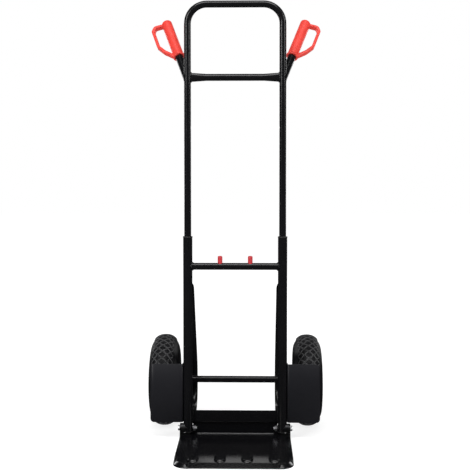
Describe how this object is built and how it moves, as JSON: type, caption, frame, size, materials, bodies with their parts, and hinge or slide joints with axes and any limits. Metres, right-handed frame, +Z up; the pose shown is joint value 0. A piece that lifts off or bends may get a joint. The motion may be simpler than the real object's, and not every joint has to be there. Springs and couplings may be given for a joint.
{
  "type": "hand truck",
  "caption": "Tubular steel hand truck with a telescoping push loop, red side grips, a folding ribbed toe plate and pneumatic wheels behind sheet guards.",
  "frame": {"origin": "on the floor, under the middle of the whole truck's box", "axes": "+Z up, -Y the way the toe plate points, +X to the right of someone facing the toe plate"},
  "size_m": [0.494, 0.52, 1.2],
  "materials": {
    "black_paint": "semi-gloss black powder coat",
    "black_plastic": "moulded, satin",
    "zinc": "bright zinc plate",
    "bearing_steel": "ground steel",
    "spring_steel": "drawn wire",
    "red_grip": "moulded, satin to gloss",
    "red_knob": "moulded, satin to gloss",
    "tyre_rubber": "black rubber, dull",
    "tube_rubber": "black butyl"
  },
  "bodies": {
    "frame": {"left_main_tube": "black_paint", "right_main_tube": "black_paint", "left_guide_bush": "black_plastic", "right_guide_bush": "black_plastic", "tube_end_plugs": "black_plastic", "middle_crossbar": "black_paint", "bottom_cross_plate": "black_paint", "left_bow": "black_paint", "right_bow": "black_paint", "left_wheel_guard": "black_paint", "right_wheel_guard": "black_paint", "axle": "black_paint", "axle_collars": "black_paint", "axle_washers": "zinc", "axle_split_pins": "zinc", "pin_guides": "black_plastic", "spring_stop": "black_plastic", "toe_pivot_bolts": "zinc", "toe_pivot_nuts": "zinc", "toe_pivot_washers": "zinc", "toe_pivot_spacers": "zinc"},
    "toe_plate": {"toe_plate": "black_paint"},
    "telescope": {"push_loop": "black_paint", "upper_crossbar": "black_paint", "slide_plugs": "black_plastic", "left_handle_tube": "black_paint", "right_handle_tube": "black_paint", "left_grip": "red_grip", "right_grip": "red_grip"},
    "left_release": {"left_release_knob": "red_knob", "left_lock_pin": "zinc", "left_lock_spring": "spring_steel"},
    "left_wheel": {"left_wheel_tyre": "tyre_rubber", "left_wheel_inner_tube": "tube_rubber", "left_wheel_valve": "tube_rubber", "left_wheel_rim_outer": "black_paint", "left_wheel_rim_inner": "black_paint", "left_wheel_hub": "black_paint", "left_wheel_bearings": "bearing_steel", "left_wheel_rim_bolts": "zinc"},
    "right_release": {"right_release_knob": "red_knob", "right_lock_pin": "zinc", "right_lock_spring": "spring_steel"},
    "right_wheel": {"right_wheel_tyre": "tyre_rubber", "right_wheel_inner_tube": "tube_rubber", "right_wheel_valve": "tube_rubber", "right_wheel_rim_outer": "black_paint", "right_wheel_rim_inner": "black_paint", "right_wheel_hub": "black_paint", "right_wheel_bearings": "bearing_steel", "right_wheel_rim_bolts": "zinc"}
  },
  "joints": [
    {"name": "left_wheel_spin", "type": "hinge", "parent": "frame", "child": "left_wheel", "pos_m": [-0.204, 0.13, 0.13], "axis": [1, 0, 0], "continuous": true},
    {"name": "right_wheel_spin", "type": "hinge", "parent": "frame", "child": "right_wheel", "pos_m": [0.204, 0.13, 0.13], "axis": [1, 0, 0], "continuous": true},
    {"name": "toe_plate_fold", "type": "hinge", "parent": "frame", "child": "toe_plate", "pos_m": [0, -0.01, 0.028], "axis": [-1, 0, 0], "range_deg": [0, 90]},
    {"name": "telescope_slide", "type": "slide", "parent": "frame", "child": "telescope", "axis": [0, 0, 1], "range_m": [-0.38, 0]},
    {"name": "left_release_slide", "type": "slide", "parent": "frame", "child": "left_release", "axis": [1, 0, 0], "range_m": [-0.0045, 0.003], "stiffness_N_per_m": 600, "springref_m": -0.012, "deforming": ["left_lock_spring"]},
    {"name": "right_release_slide", "type": "slide", "parent": "frame", "child": "right_release", "axis": [-1, 0, 0], "range_m": [-0.0045, 0.003], "stiffness_N_per_m": 600, "springref_m": -0.012, "deforming": ["right_lock_spring"]}
  ]
}
